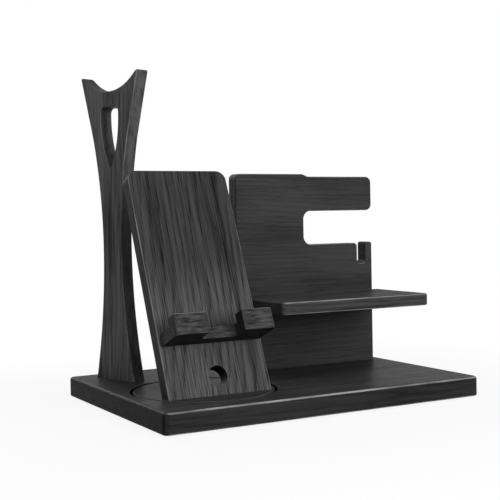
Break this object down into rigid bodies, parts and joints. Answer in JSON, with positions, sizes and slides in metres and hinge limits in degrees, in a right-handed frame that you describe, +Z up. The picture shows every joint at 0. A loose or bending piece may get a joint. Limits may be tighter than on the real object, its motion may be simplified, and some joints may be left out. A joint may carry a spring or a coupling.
{
  "type": "nightstand organizer",
  "caption": "Stained-wood bedside docking station: turning phone stand, hourglass headphone post, watch arm, key hook, shelf and tray base.",
  "frame": {"origin": "under the middle of the base board, on the plane that the foot pads stand on", "axes": "+X to the user's right along the base's long side, +Y to the back, +Z up"},
  "size_m": [0.302, 0.214, 0.2919],
  "materials": {
    "stained_wood": "black-stained open-grain ash, satin",
    "plain_wood": "plain beech",
    "pad_rubber": "matte",
    "nylon": "natural nylon",
    "brass": "turned",
    "zinc_steel": "zinc plated"
  },
  "bodies": {
    "base": {"base_board": "stained_wood", "foot_pads": "pad_rubber", "glide_ring": "nylon", "pivot_bush": "nylon", "headphone_post": "stained_wood", "post_screws": "zinc_steel", "main_panel": "stained_wood", "panel_screws": "zinc_steel", "shelf": "stained_wood", "shelf_screws": "zinc_steel", "tablet_ledge": "stained_wood", "ledge_dowels": "plain_wood"},
    "phone_stand": {"turntable_disc": "stained_wood", "pivot_bolt": "zinc_steel", "pivot_washer": "zinc_steel", "pivot_insert": "brass", "phone_board": "stained_wood", "stand_screws": "zinc_steel", "phone_rest": "stained_wood", "rest_screws": "zinc_steel"}
  },
  "joints": [
    {"name": "turntable_spin", "type": "hinge", "parent": "base", "child": "phone_stand", "pos_m": [-0.0787, -0.0267, 0.0106], "axis": [0, 0, 1], "continuous": true}
  ]
}
